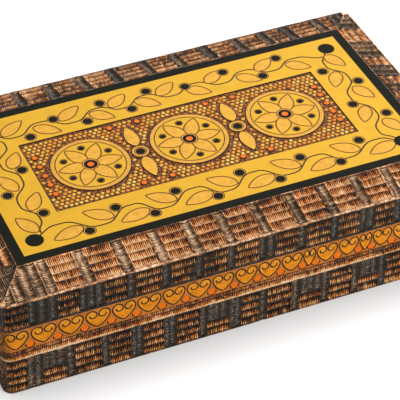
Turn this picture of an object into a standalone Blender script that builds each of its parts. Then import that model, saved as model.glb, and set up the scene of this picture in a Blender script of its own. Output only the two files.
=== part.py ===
"""Wooden keepsake box: a mitred base with a bottom board, and a lid of four rails under a thick
top board with sloping edges, joined at the back by two small brass butt hinges.

All lengths are in metres. X runs along the box, -Y is the front, +Z is up. The origin is the
middle of the base on the surface that the box stands on.
"""

import math

import bmesh
import bpy
from mathutils import Matrix, Vector

# Overall size
BOX_LENGTH = 0.250
BOX_DEPTH = 0.152
BOX_HEIGHT = 0.0595
LID_HEIGHT = 0.0210
CORNER_RADIUS = 0.005

# Fit between wooden pieces, and how far a cutter runs past what it cuts
FIT_GAP = 0.0003
CUT_OVERRUN = 0.004

# Base walls
WALL_THICKNESS = 0.010
FRIEZE_HEIGHT = 0.0125
GROOVE_HEIGHT = 0.0046
GROOVE_DEPTH = 0.0013
FRIEZE_INSET = 0.0006
EDGE_EASE = 0.0007

# Bottom board, let into a rebate round the foot of the walls
BOTTOM_BOARD_THICKNESS = 0.004
REBATE_DEPTH = 0.005

# Top board, whose edges slope down to the outside
TOP_BOARD_THICKNESS = 0.0102
SLOPE_DROP = 0.0044
SLOPE_RUN_AT_ENDS = 0.0157
SLOPE_RUN_AT_SIDES = 0.0196
TOP_CORNER_RADIUS = 0.0006

# Sunk centre field of the top board
CENTRE_FIELD_LENGTH = 0.1593
CENTRE_FIELD_DEPTH = 0.0547
CENTRE_FIELD_SINK = 0.0004

# Pressed marks: upright ones, with rows of level ones between them
MARK_DEPTH = 0.0011
MARK_HALF_WIDTH = 0.0022
MARK_END = 0.0009
MARK_MARGIN = 0.0004
MARK_OVERLAP = 0.0033
LEVEL_PITCH = 0.0046
LEVEL_LENGTH_MIN = 0.004
SLOPE_WEB = 0.0013
WALL_LAND = 0.0015

# Places of the upright marks as shares of half the length or half the depth of the box, counted
# to the right when that side is looked at from outside
FRONT_SLOPE_SHARES = (
    -0.834, -0.789, -0.646, -0.494, -0.352, -0.216, -0.082,
    0.062, 0.207, 0.347, 0.484, 0.617, 0.757, 0.797, 0.838,
)
RIGHT_SLOPE_SHARES = (-0.566, -0.355, -0.171, 0.018, 0.192, 0.25, 0.429, 0.489, 0.55)
BACK_SLOPE_SHARES = (
    -0.832, -0.69, -0.58, -0.455, -0.317, -0.175, -0.038, 0.108, 0.245, 0.385, 0.524, 0.656, 0.789, 0.832,
)
LEFT_SLOPE_SHARES = (-0.579, -0.362, -0.145, 0.074, 0.295, 0.513)
FRONT_WALL_SHARES = (
    -0.894, -0.864, -0.736, -0.599, -0.479, -0.461, -0.346, -0.324, -0.199, -0.074, -0.056,
    0.052, 0.19, 0.318, 0.448, 0.568, 0.692, 0.819, 0.85,
)

# Butt hinges, with their knuckles in the groove that the chamfered back edges form
LID_OPENING_DEG = 100.0
HINGE_SPACING = 0.150
HINGE_LENGTH = 0.019
HINGE_AXIS_INSET = 0.0018
BARREL_RADIUS = 0.0014
PIN_RADIUS = 0.0007
PIN_CLEARANCE = 0.0001
KNUCKLE_GAP = 0.0002
KNUCKLE_END_EASE = 0.00005
MIDDLE_KNUCKLE_LENGTH = 0.0065
LEAF_THICKNESS = 0.0010
LEAF_REACH = 0.0068

# Countersunk hinge screws
SCREW_SPACING = 0.0112
SCREW_SETBACK = 0.0043
SCREW_HEAD_RADIUS = 0.0015
SCREW_HEAD_HEIGHT = 0.0007
SCREW_SHANK_RADIUS = 0.0008
SCREW_LENGTH = 0.0070
SCREW_TIP_LENGTH = 0.0015
SCREW_TIP_RADIUS = 0.0002
SCREW_CLEARANCE = 0.0001
SLOT_WIDTH = 0.0004
SLOT_DEPTH = 0.0003

# Counts, and the turn between two faces that is shaded as an edge on the sloping board
SLOPE_SHARP_DEG = 10.0
CORNER_STEPS = 5
GROOVE_STEPS = 8
ROUND_SIDES = 24

# Worked out from the sizes above
HALF_LENGTH = BOX_LENGTH / 2
HALF_DEPTH = BOX_DEPTH / 2
HALF_GAP = FIT_GAP / 2
BOARD_HEIGHT = BOX_HEIGHT - TOP_BOARD_THICKNESS
SEAM_HEIGHT = BOX_HEIGHT - LID_HEIGHT
GROOVE_TOP = SEAM_HEIGHT - FRIEZE_HEIGHT
LOWER_BAND_TOP = GROOVE_TOP - GROOVE_HEIGHT
HINGE_AXIS_Y = HALF_DEPTH - HINGE_AXIS_INSET
CHAMFER_ANGLE = math.radians(LID_OPENING_DEG / 2)
SLOPE_SHARES = (FRONT_SLOPE_SHARES, RIGHT_SLOPE_SHARES, BACK_SLOPE_SHARES, LEFT_SLOPE_SHARES)
HINGE_PLACES = (("left", -HINGE_SPACING / 2), ("right", HINGE_SPACING / 2))


def clear_scene():
    for old in list(bpy.data.objects):
        bpy.data.objects.remove(old, do_unlink=True)


def wood(name, colour, roughness):
    return material(name, colour, roughness, 0.0)


def material(name, colour, roughness, metallic):
    made = bpy.data.materials.new(name)
    made.use_nodes = True
    shader = made.node_tree.nodes["Principled BSDF"]
    shader.inputs["Base Color"].default_value = (*colour, 1.0)
    shader.inputs["Roughness"].default_value = roughness
    shader.inputs["Metallic"].default_value = metallic
    return made


def new_object(name, bm, finish=None):
    """Turns a bmesh into an object with outward faces."""
    bmesh.ops.recalc_face_normals(bm, faces=bm.faces)
    mesh = bpy.data.meshes.new(name)
    bm.to_mesh(mesh)
    bm.free()
    made = bpy.data.objects.new(name, mesh)
    bpy.context.scene.collection.objects.link(made)
    if finish:
        mesh.materials.append(finish)
    return made


def smooth_rounds(obj, angle_deg=30.0):
    obj.data.shade_smooth()
    obj.data.set_sharp_from_angle(angle=math.radians(angle_deg))


def as_cutter(obj):
    obj.hide_render = True
    obj.display_type = "WIRE"
    return obj


def add_boolean(obj, other, operation="DIFFERENCE"):
    step = obj.modifiers.new(operation.title() + "_" + other.name, "BOOLEAN")
    step.operation = operation
    step.solver = "EXACT"
    step.object = other


def block(name, low, high, finish=None):
    """An upright block between two corners."""
    low = Vector(low)
    high = Vector(high)
    size = high - low
    bm = bmesh.new()
    bmesh.ops.create_cube(bm, size=1.0)
    bmesh.ops.scale(bm, vec=size, verts=bm.verts)
    bmesh.ops.translate(bm, vec=(low + high) / 2, verts=bm.verts)
    return new_object(name, bm, finish)


def loft(name, rings, finish=None, panels=None):
    """A closed solid through rings of points, from the lowest to the highest. panels holds, by
    the number of the lower ring and of the point where a face starts, what builds that face."""
    bm = bmesh.new()
    loops = [[bm.verts.new(point) for point in ring] for ring in rings]
    for level, (lower, upper) in enumerate(zip(loops, loops[1:])):
        for i in range(len(lower)):
            j = (i + 1) % len(lower)
            corners = (lower[i], lower[j], upper[j], upper[i])
            if panels and (level, i) in panels:
                panels[level, i](bm, corners)
            else:
                bm.faces.new(corners)
    bm.faces.new(list(reversed(loops[0])))
    bm.faces.new(loops[-1])
    return new_object(name, bm, finish)


def arc(centre_x, centre_y, radius, start, end, steps):
    """Points of an arc in plan."""
    points = []
    for i in range(steps + 1):
        angle = start + (end - start) * i / steps
        points.append((centre_x + radius * math.cos(angle), centre_y + radius * math.sin(angle)))
    return points


def fan(bm, start, end, nodes):
    """Fills the strip between a straight edge and the nodes that run alongside it."""
    middle = len(nodes) // 2
    for i in range(len(nodes) - 1):
        bm.faces.new((start if i < middle else end, nodes[i], nodes[i + 1]))
    bm.faces.new((start, nodes[middle], end))


def mark_columns(places, end):
    """Places along a side from -end to end, each on the land, in an upright mark or in the level
    marks."""
    columns = [(-end, "land")]
    reach = end - MARK_HALF_WIDTH - MARK_MARGIN
    for place in [*(p for p in places if abs(p) < reach), end + MARK_HALF_WIDTH]:
        last = columns[-1][0]
        edge = place - MARK_HALF_WIDTH
        if edge - last > LEVEL_LENGTH_MIN:
            columns += [(last + MARK_END, "level"), (edge - MARK_END, "level")]
        if edge - last > MARK_MARGIN:
            columns.append((edge, "land"))
        else:
            columns.pop()
            if place - columns[-1][0] > MARK_OVERLAP:
                columns.append(((last + edge) / 2, "land"))
        columns += [(place, "upright"), (place + MARK_HALF_WIDTH, "land")]
    return columns[:-2]


def mark_rows(start, end):
    """Heights of the level marks' edges and middles."""
    count = max(1, round((end - start) / LEVEL_PITCH))
    half = (end - start) / count / 2
    rows = [(start + half * i, "level" if i % 2 else "land") for i in range(2 * count + 1)]
    rows[0] = (start, "end")
    rows[-1] = (end, "end")
    return rows


def pressed_panel(columns, rows, surface):
    """Builds a flat face with pressed marks. surface gives the point at a place along the side,
    a height and a depth."""

    def build(bm, corners):
        grid = []
        for place, column in columns:
            line = []
            for height, row in rows:
                deep = row != "end" and (column == "upright" or column == row == "level")
                line.append(bm.verts.new(surface(place, height, MARK_DEPTH if deep else 0)))
            grid.append(line)
        for left, right in zip(grid, grid[1:]):
            for i in range(len(rows) - 1):
                bm.faces.new((left[i], right[i], right[i + 1], left[i + 1]))
        low_left, low_right, high_right, high_left = corners
        fan(bm, low_left, low_right, [line[0] for line in grid])
        fan(bm, low_right, high_right, grid[-1])
        fan(bm, high_left, high_right, [line[-1] for line in grid])
        fan(bm, low_left, high_left, grid[0])

    return build


def wall_outline(run, offset, inset):
    """Plan of a mitred wall whose outer face looks to -Y: run is half the box's size along the
    wall, offset is half its size across, and inset draws the outer face in."""
    radius = CORNER_RADIUS - inset
    centre_x = run - CORNER_RADIUS
    centre_y = -(offset - CORNER_RADIUS)
    trim = math.asin(HALF_GAP / radius)
    left = arc(-centre_x, centre_y, radius, math.radians(225) + trim, math.radians(270), CORNER_STEPS)
    right = arc(centre_x, centre_y, radius, math.radians(270), math.radians(315) - trim, CORNER_STEPS)
    inner_x = run - WALL_THICKNESS - HALF_GAP * math.sqrt(2)
    inner_y = -(offset - WALL_THICKNESS)
    return [(-inner_x, inner_y), *left, *right, (inner_x, inner_y)]


def base_wall_levels():
    """Height and inset of the base's outer face: lower band, groove, then frieze."""
    levels = [
        (0, EDGE_EASE),
        (EDGE_EASE, 0),
        (LOWER_BAND_TOP - EDGE_EASE, 0),
    ]
    for i in range(GROOVE_STEPS + 1):
        turn = math.pi * i / GROOVE_STEPS
        rise = GROOVE_HEIGHT * (1 - math.cos(turn)) / 2
        edge = EDGE_EASE + (FRIEZE_INSET - EDGE_EASE) * i / GROOVE_STEPS
        levels.append((LOWER_BAND_TOP + rise, edge + (GROOVE_DEPTH - edge) * math.sin(turn)))
    levels.append((GROOVE_TOP + EDGE_EASE, FRIEZE_INSET))
    levels.append((SEAM_HEIGHT - HALF_GAP - EDGE_EASE, FRIEZE_INSET))
    levels.append((SEAM_HEIGHT - HALF_GAP, FRIEZE_INSET + EDGE_EASE / 2))
    return levels


def lid_rail_levels():
    return [
        (SEAM_HEIGHT + HALF_GAP, EDGE_EASE / 2),
        (SEAM_HEIGHT + HALF_GAP + EDGE_EASE, 0),
        (BOARD_HEIGHT - HALF_GAP, 0),
    ]


def side_sizes(side):
    """Half the box's size along a side and across it, and the turn from the front. side counts
    quarter turns: 0 front, 1 right, 2 back, 3 left."""
    run, offset = (HALF_LENGTH, HALF_DEPTH) if side % 2 == 0 else (HALF_DEPTH, HALF_LENGTH)
    return run, offset, Matrix.Rotation(math.radians(90) * side, 3, "Z")


def front_wall_marks():
    """The marks of the front wall's lower band, on the flat face between its rounded ends."""
    columns = mark_columns(
        [share * HALF_LENGTH for share in FRONT_WALL_SHARES], HALF_LENGTH - CORNER_RADIUS - MARK_MARGIN
    )
    rows = mark_rows(EDGE_EASE + MARK_MARGIN, LOWER_BAND_TOP - WALL_LAND)
    band = pressed_panel(columns, rows, lambda x, z, depth: Vector((x, depth - HALF_DEPTH, z)))
    return {(1, CORNER_STEPS + 1): band}


def wall(name, side, levels, finish, panels=None):
    """One of four mitred sides."""
    run, offset, turn = side_sizes(side)
    rings = []
    for height, inset in levels:
        outline = wall_outline(run, offset, inset)
        rings.append([turn @ Vector((x, y, height)) for x, y in outline])
    made = loft(name, rings, finish, panels)
    smooth_rounds(made)
    return made


def rounded_rectangle(half_x, half_y, radius, height):
    points = []
    corners = ((1, 1, 0), (-1, 1, 90), (-1, -1, 180), (1, -1, 270))
    for sign_x, sign_y, start in corners:
        centre = (sign_x * (half_x - radius), sign_y * (half_y - radius))
        sweep = (math.radians(start), math.radians(start + 90))
        points += arc(*centre, radius, *sweep, 2 * CORNER_STEPS)
    return [Vector((x, y, height)) for x, y in points]


def slope_marks(side):
    """The marks of one sloping margin, between the ends of the flat middle."""
    run, offset, turn = side_sizes(side)
    slope_run, end_run = SLOPE_RUN_AT_SIDES, SLOPE_RUN_AT_ENDS
    if side % 2:
        slope_run, end_run = end_run, slope_run
    tilt = math.atan2(SLOPE_DROP, slope_run)
    length = math.hypot(SLOPE_DROP, slope_run)

    def surface(place, rise, depth):
        inwards = rise * math.cos(tilt) + depth * math.sin(tilt)
        height = BOX_HEIGHT - SLOPE_DROP + rise * math.sin(tilt) - depth * math.cos(tilt)
        return turn @ Vector((place, inwards - offset, height))

    places = [share * run for share in SLOPE_SHARES[side]]
    columns = mark_columns(places, run - end_run - TOP_CORNER_RADIUS - MARK_MARGIN)
    return pressed_panel(columns, mark_rows(SLOPE_WEB, length - MARK_MARGIN), surface)


def top_board(finish):
    """The lid's top: upright edges, sloping margins and a flat middle with a sunk field."""
    flat_x = HALF_LENGTH - SLOPE_RUN_AT_ENDS
    flat_y = HALF_DEPTH - SLOPE_RUN_AT_SIDES
    slope_foot = BOX_HEIGHT - SLOPE_DROP
    rings = [
        rounded_rectangle(HALF_LENGTH, HALF_DEPTH, CORNER_RADIUS, BOARD_HEIGHT + HALF_GAP),
        rounded_rectangle(HALF_LENGTH, HALF_DEPTH, CORNER_RADIUS, slope_foot),
        rounded_rectangle(flat_x, flat_y, TOP_CORNER_RADIUS, BOX_HEIGHT),
    ]
    corner_points = 2 * CORNER_STEPS + 1
    sides_from_back = (2, 3, 0, 1)
    panels = {}
    for number, side in enumerate(sides_from_back, 1):
        panels[1, number * corner_points - 1] = slope_marks(side)
    made = loft("lid_top_board", rings, finish, panels)
    smooth_rounds(made, SLOPE_SHARP_DEG)
    field_low = (-CENTRE_FIELD_LENGTH / 2, -CENTRE_FIELD_DEPTH / 2, BOX_HEIGHT - CENTRE_FIELD_SINK)
    field_high = (CENTRE_FIELD_LENGTH / 2, CENTRE_FIELD_DEPTH / 2, BOX_HEIGHT + CUT_OVERRUN)
    add_boolean(made, as_cutter(block("cutter_centre_field", field_low, field_high)))
    return made


def bottom_board(finish):
    half_x = HALF_LENGTH - WALL_THICKNESS + REBATE_DEPTH - FIT_GAP
    half_y = HALF_DEPTH - WALL_THICKNESS + REBATE_DEPTH - FIT_GAP
    return block("bottom_board", (-half_x, -half_y, 0), (half_x, half_y, BOTTOM_BOARD_THICKNESS), finish)


def rebate_cutter():
    half_x = HALF_LENGTH - WALL_THICKNESS + REBATE_DEPTH
    half_y = HALF_DEPTH - WALL_THICKNESS + REBATE_DEPTH
    low = (-half_x, -half_y, -CUT_OVERRUN)
    high = (half_x, half_y, BOTTOM_BOARD_THICKNESS + FIT_GAP)
    return as_cutter(block("cutter_rebate", low, high))


def back_groove_cutter():
    """The V that the two chamfers make along the back. Each chamfer lies half a fit gap from the
    hinge axis, so the chamfers meet with one fit gap between them when the lid is fully open."""
    apex = -HALF_GAP / math.sin(CHAMFER_ANGLE)
    reach = HINGE_AXIS_INSET + CUT_OVERRUN
    spread = (HALF_GAP + reach * math.sin(CHAMFER_ANGLE)) / math.cos(CHAMFER_ANGLE)
    section = ((apex, 0), (reach, -spread), (reach, spread))
    bm = bmesh.new()
    ends = []
    for x in (-HALF_LENGTH - CUT_OVERRUN, HALF_LENGTH + CUT_OVERRUN):
        ends.append([bm.verts.new((x, HINGE_AXIS_Y + y, SEAM_HEIGHT + z)) for y, z in section])
    bm.faces.new(ends[0])
    bm.faces.new(list(reversed(ends[1])))
    for i in range(len(section)):
        j = (i + 1) % len(section)
        bm.faces.new((ends[0][i], ends[1][i], ends[1][j], ends[0][j]))
    return as_cutter(new_object("cutter_back_groove", bm))


def cylinder_x(name, centre_x, length, radius, finish=None):
    """A cylinder on the hinge axis."""
    bm = bmesh.new()
    place = Matrix.Translation((centre_x, HINGE_AXIS_Y, SEAM_HEIGHT)) @ Matrix.Rotation(
        math.radians(90), 4, "Y"
    )
    bmesh.ops.create_cone(
        bm,
        cap_ends=True,
        segments=ROUND_SIDES,
        radius1=radius,
        radius2=radius,
        depth=length,
        matrix=place,
    )
    return new_object(name, bm, finish)


def mortise_cutters(name, centre_x):
    """Room for both leaves of a hinge, and deeper room for its barrel."""
    half = HINGE_LENGTH / 2 + FIT_GAP
    back = HALF_DEPTH + CUT_OVERRUN
    leaf_depth = HALF_GAP + LEAF_THICKNESS + FIT_GAP
    barrel_depth = BARREL_RADIUS + FIT_GAP
    leaf_room = block(
        "cutter_leaf_" + name,
        (centre_x - half, HINGE_AXIS_Y - LEAF_REACH - FIT_GAP, SEAM_HEIGHT - leaf_depth),
        (centre_x + half, back, SEAM_HEIGHT + leaf_depth),
    )
    barrel_room = block(
        "cutter_barrel_" + name,
        (centre_x - half, HINGE_AXIS_Y - barrel_depth, SEAM_HEIGHT - barrel_depth),
        (centre_x + half, back, SEAM_HEIGHT + barrel_depth),
    )
    return [as_cutter(leaf_room), as_cutter(barrel_room)]


def screw_places(centre_x):
    """The two screws of one leaf."""
    y = HINGE_AXIS_Y - SCREW_SETBACK
    return [(centre_x + side * SCREW_SPACING / 2, y) for side in (-1, 1)]


def turned(bm, profile, x, y, head_height, point_down):
    """Adds a solid turned about an upright axis to bm. profile holds radius and depth below the
    head, and point_down is 1 for a screw that goes down and -1 for one that goes up."""
    rings = []
    for radius, depth in profile:
        ring = []
        for i in range(ROUND_SIDES):
            angle = 2 * math.pi * i / ROUND_SIDES
            place = (
                x + radius * math.cos(angle),
                y + radius * math.sin(angle),
                head_height - point_down * depth,
            )
            ring.append(bm.verts.new(place))
        rings.append(ring)
    for upper, lower in zip(rings, rings[1:]):
        for i in range(ROUND_SIDES):
            j = (i + 1) % ROUND_SIDES
            bm.faces.new((upper[i], upper[j], lower[j], lower[i]))
    bm.faces.new(rings[0])
    bm.faces.new(rings[-1])


def screw_profile(extra=0.0, overrun=0.0):
    """Radius and depth down a screw. extra widens it into the hole that takes the screw."""
    head = SCREW_HEAD_RADIUS + extra
    shank = SCREW_SHANK_RADIUS + extra
    shoulder = SCREW_LENGTH - SCREW_TIP_LENGTH
    profile = [(head, -overrun)] if overrun else []
    profile += [(head, 0), (shank, SCREW_HEAD_HEIGHT + extra)]
    if overrun:
        return profile + [(shank, SCREW_LENGTH + extra)]
    return profile + [(shank, shoulder), (SCREW_TIP_RADIUS, SCREW_LENGTH)]


def leaf_face(point_down):
    """Height of a leaf's bare face, flush with the wood that it is let into."""
    return SEAM_HEIGHT - point_down * HALF_GAP


def screw_hole_cutter(name, centre_x, point_down):
    bm = bmesh.new()
    for x, y in screw_places(centre_x):
        turned(bm, screw_profile(SCREW_CLEARANCE, HALF_GAP), x, y, leaf_face(point_down), point_down)
    return as_cutter(new_object(name, bm))


def hinge_screw(name, x, y, point_down, finish):
    """One countersunk screw with its slot cut."""
    bm = bmesh.new()
    face = leaf_face(point_down)
    turned(bm, screw_profile(), x, y, face, point_down)
    made = new_object(name, bm, finish)
    smooth_rounds(made)
    half_width = SLOT_WIDTH / 2
    half_slot = SCREW_HEAD_RADIUS + CUT_OVERRUN
    low = (x - half_width, y - half_slot, face - SLOT_DEPTH)
    high = (x + half_width, y + half_slot, face + SLOT_DEPTH)
    add_boolean(made, as_cutter(block("cutter_slot_" + name, low, high)))
    return made


def knuckle_spans(centre_x):
    """Where the knuckles run along a hinge: the two outer ones, then the middle one."""
    half = HINGE_LENGTH / 2
    middle = MIDDLE_KNUCKLE_LENGTH / 2
    inner_end = middle + KNUCKLE_GAP
    outer = [(centre_x - half, centre_x - inner_end), (centre_x + inner_end, centre_x + half)]
    return outer, [(centre_x - middle, centre_x + middle)]


def hinge_leaf(name, centre_x, point_down, finish):
    """A leaf with its knuckles: two outer ones on the base's leaf, the middle one on the lid's."""
    outer, middle = knuckle_spans(centre_x)
    own, other = (outer, middle) if point_down > 0 else (middle, outer)
    half = HINGE_LENGTH / 2
    face = leaf_face(point_down)
    low_z, high_z = sorted((face, face - point_down * LEAF_THICKNESS))
    low = (centre_x - half, HINGE_AXIS_Y - LEAF_REACH, low_z)
    made = block(name, low, (centre_x + half, HINGE_AXIS_Y, high_z), finish)
    for i, (low_x, high_x) in enumerate(other):
        notch = block(
            f"cutter_notch_{i}_{name}",
            (low_x - KNUCKLE_GAP, HINGE_AXIS_Y - BARREL_RADIUS - KNUCKLE_GAP, low_z - CUT_OVERRUN),
            (high_x + KNUCKLE_GAP, HINGE_AXIS_Y + CUT_OVERRUN, high_z + CUT_OVERRUN),
        )
        add_boolean(made, as_cutter(notch))
    for i, (low_x, high_x) in enumerate(own):
        length = high_x - low_x - 2 * KNUCKLE_END_EASE
        middle_x = (low_x + high_x) / 2
        knuckle = cylinder_x(f"cutter_knuckle_{i}_{name}", middle_x, length, BARREL_RADIUS)
        add_boolean(made, as_cutter(knuckle), "UNION")
    bore_radius = PIN_RADIUS + PIN_CLEARANCE
    bore = cylinder_x("cutter_bore_" + name, centre_x, HINGE_LENGTH + CUT_OVERRUN, bore_radius)
    add_boolean(made, as_cutter(bore))
    return made


def build_base(finish, board_finish):
    levels = base_wall_levels()
    names = ("front_wall", "right_wall", "back_wall", "left_wall")
    walls = {}
    for side, name in enumerate(names):
        walls[name] = wall(name, side, levels, finish, None if side else front_wall_marks())
    rebate = rebate_cutter()
    for made in walls.values():
        add_boolean(made, rebate)
    bottom_board(board_finish)
    return walls


def build_lid(finish, top_finish):
    levels = lid_rail_levels()
    names = ("lid_front_rail", "lid_right_rail", "lid_back_rail", "lid_left_rail")
    rails = {name: wall(name, side, levels, finish) for side, name in enumerate(names)}
    top_board(top_finish)
    return rails


def build_hinges(walls, rails, finish):
    for side, centre_x in HINGE_PLACES:
        base_leaf = hinge_leaf(f"{side}_hinge_base_leaf", centre_x, 1, finish)
        lid_leaf = hinge_leaf(f"{side}_hinge_lid_leaf", centre_x, -1, finish)
        pin = cylinder_x(f"{side}_hinge_pin", centre_x, HINGE_LENGTH, PIN_RADIUS, finish)
        smooth_rounds(pin)
        base_holes = screw_hole_cutter(f"cutter_{side}_base_screw_holes", centre_x, 1)
        lid_holes = screw_hole_cutter(f"cutter_{side}_lid_screw_holes", centre_x, -1)
        for cutter in mortise_cutters(side, centre_x):
            add_boolean(walls["back_wall"], cutter)
            add_boolean(rails["lid_back_rail"], cutter)
        for wooden, leaf, holes in (
            (walls["back_wall"], base_leaf, base_holes),
            (rails["lid_back_rail"], lid_leaf, lid_holes),
        ):
            add_boolean(wooden, holes)
            add_boolean(leaf, holes)
        for number, (x, y) in enumerate(screw_places(centre_x), 1):
            hinge_screw(f"{side}_hinge_base_screw_{number}", x, y, 1, finish)
            hinge_screw(f"{side}_hinge_lid_screw_{number}", x, y, -1, finish)


def main():
    clear_scene()
    carved = wood("scorched_carved_wood", (0.45, 0.24, 0.09), 0.45)
    painted = wood("painted_top_wood", (0.85, 0.50, 0.03), 0.35)
    board = wood("plain_bottom_wood", (0.62, 0.43, 0.24), 0.6)
    brass = material("hinge_brass", (0.72, 0.53, 0.22), 0.35, 1.0)
    walls = build_base(carved, board)
    rails = build_lid(carved, painted)
    groove = back_groove_cutter()
    for name in ("right_wall", "back_wall", "left_wall"):
        add_boolean(walls[name], groove)
    for name in ("lid_right_rail", "lid_back_rail", "lid_left_rail"):
        add_boolean(rails[name], groove)
    build_hinges(walls, rails, brass)


main()
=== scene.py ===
import math
from collections import namedtuple

import bmesh
import bpy
import numpy as np
from mathutils import Matrix, Vector
from mathutils.geometry import delaunay_2d_cdt


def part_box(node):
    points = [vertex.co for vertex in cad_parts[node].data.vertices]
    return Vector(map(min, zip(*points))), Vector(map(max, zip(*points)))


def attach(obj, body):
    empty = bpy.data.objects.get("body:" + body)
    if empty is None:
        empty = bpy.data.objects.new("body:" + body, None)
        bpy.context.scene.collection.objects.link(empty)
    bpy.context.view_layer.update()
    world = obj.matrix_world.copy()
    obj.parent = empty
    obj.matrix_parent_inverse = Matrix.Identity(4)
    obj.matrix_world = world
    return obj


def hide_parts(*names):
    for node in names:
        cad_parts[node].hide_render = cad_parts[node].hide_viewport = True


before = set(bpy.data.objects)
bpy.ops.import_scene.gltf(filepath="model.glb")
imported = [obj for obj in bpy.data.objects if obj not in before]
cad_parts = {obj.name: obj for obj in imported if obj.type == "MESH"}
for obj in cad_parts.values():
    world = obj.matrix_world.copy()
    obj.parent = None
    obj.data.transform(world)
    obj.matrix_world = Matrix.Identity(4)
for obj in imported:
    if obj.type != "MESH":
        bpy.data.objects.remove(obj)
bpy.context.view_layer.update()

# The layout is in millimetres in the row frame. MM turns it into metres.
MM = 0.001
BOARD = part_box("lid_top_board")
HALF_LENGTH = BOARD[1].x / MM
HALF_DEPTH = BOARD[1].y / MM
TOP = BOARD[1].z / MM

# Heights of the box's parts.
BOARD_FOOT = 49.3
LID_FOOT = 38.65
WALL_TOP = 38.35
FRIEZE_FOOT = 26.0
STRIP_FOOT = 21.4
REBATE_CEILING = 4.3
REBATE_INSET = 5.0
WALL_THICKNESS = 10.0
FRIEZE_INSET = 0.6
FOOT_EASE = 0.5
CORNER_RADIUS = 5.0

# The sloping margins and the flat painted panel inside them.
PANEL_HALF_LENGTH = 109.3
PANEL_HALF_DEPTH = 56.4
PANEL_THICKNESS = 1.0
SLOPE_FOOT = 55.18
SLOPE_EASE = 0.35
BAND_TOP = 54.75

# The marks of a threaded rod. One grid step is half a rib.
RIB_STEP = 0.4625
RIB_HEIGHT = 0.21
RIB_UNEVEN = 0.13
RIB_STRENGTH = (0.5, 1.3)
RIB_START_DEPTH = 0.3
RIB_FULL_DEPTH = 0.45
ROD_RADIUS = 3.0
ROD_PUSH = 1.15
ROD_END = 1.1
PUSH_SPREAD = (0.86, 1.08)
SLIP_U = 0.12
SLIP_V = 0.1
LEAN = 0.012
HALO = 0.3
SCORCHED_POST = 0.6
MITRE_FADE = 1.2
CORNER_STEPS = 36
LONG_STEPS = 470
SHORT_STEPS = 242

WELD = 0.000002
UV_NAME = "OFBake"
PRESS_NAME = "press"

rng = np.random.default_rng(7)

Side = namedtuple("Side", "name quarter half_run half_depth core core_steps slope_run")
Mark = namedtuple("Mark", "u v half upright rod push lean scorch")
Patch = namedtuple("Patch", "points faces spots looks data")

LONG = (HALF_LENGTH, HALF_DEPTH, PANEL_HALF_LENGTH, LONG_STEPS, HALF_DEPTH - PANEL_HALF_DEPTH)
SHORT = (HALF_DEPTH, HALF_LENGTH, PANEL_HALF_DEPTH, SHORT_STEPS, HALF_LENGTH - PANEL_HALF_LENGTH)
FRONT = Side("front", 0, *LONG)
RIGHT = Side("right", 1, *SHORT)
BACK = Side("back", 2, *LONG)
LEFT = Side("left", 3, *SHORT)
SIDES = (FRONT, RIGHT, BACK, LEFT)


def together(*values):
    """Coordinates side by side in a last axis."""
    return np.stack(values, axis=-1)


# Places on a side: u runs along it and round its corners, inset goes inwards.
def turned(side, along, out, z):
    along, out, z = np.broadcast_arrays(along, out, z)
    spots = ((along, -out), (out, along), (-along, out), (-out, -along))[side.quarter]
    return together(spots[0], spots[1], z)


def straight(side):
    return side.half_run - CORNER_RADIUS


def run_end(side):
    return straight(side) + CORNER_RADIUS * math.pi / 4


def arc(side, u, inset):
    """How far from the side's middle and how far out the skin lies, round corner included."""
    turn = np.clip(np.abs(u) - straight(side), 0, None) / CORNER_RADIUS
    radius = CORNER_RADIUS - inset
    along = np.minimum(np.abs(u), straight(side)) + radius * np.sin(turn)
    return along, side.half_depth - CORNER_RADIUS + radius * np.cos(turn)


def skin(side, u, inset, z):
    along, out = arc(side, u, inset)
    return turned(side, np.sign(u) * along, out, z)


def inner(side, u, inset, z):
    along = u / run_end(side) * (side.half_run - inset)
    return turned(side, along, side.half_depth - inset, z)


def columns(side):
    corner = np.linspace(side.core, run_end(side), CORNER_STEPS + 1)
    core = np.linspace(-side.core, side.core, side.core_steps + 1)
    return np.concatenate((-corner[::-1], core[1:-1], corner))


def quads(column_count, row_count):
    j = np.arange(column_count - 1)[:, None] * row_count
    k = np.arange(row_count - 1)[None, :]
    a = (j + k).ravel()
    return together(a, a + 1, a + row_count + 1, a + row_count)


def grid_patch(points, u, v, look, data=None):
    column_count, row_count = points.shape[:2]
    faces = quads(column_count, row_count)
    spots = np.stack(np.broadcast_arrays(u[:, None], v[None, :]), axis=-1)
    if data is None:
        data = np.zeros((column_count, row_count, 4))
    looks = [look] * len(faces)
    return Patch(points.reshape(-1, 3), faces.tolist(), spots.reshape(-1, 2), looks, data.reshape(-1, 4))


# The pressed marks. An upright one is palest along its middle, a level one towards its foot; both are
# painted highlights on the burnt wood.
POST_HIGHLIGHT = 0.58
POST_HIGHLIGHT_WIDTH = 0.48
ROW_HIGHLIGHT = 0.64
ROW_HIGHLIGHT_GAIN = 0.75
ROW_RISE = 0.4
ROW_FALL = 0.25


def painted_highlight(share, upright):
    """How much painted highlight lightens a mark at a share of its half width from its middle line."""
    if upright:
        return POST_HIGHLIGHT * np.exp(-((share / POST_HIGHLIGHT_WIDTH) ** 2))
    rise = np.clip((share + 1) / ROW_RISE, 0, 1)
    fall = np.clip((1 - share) / ROW_FALL, 0, 1)
    return (ROW_HIGHLIGHT + ROW_HIGHLIGHT_GAIN * share) * rise * fall


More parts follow.
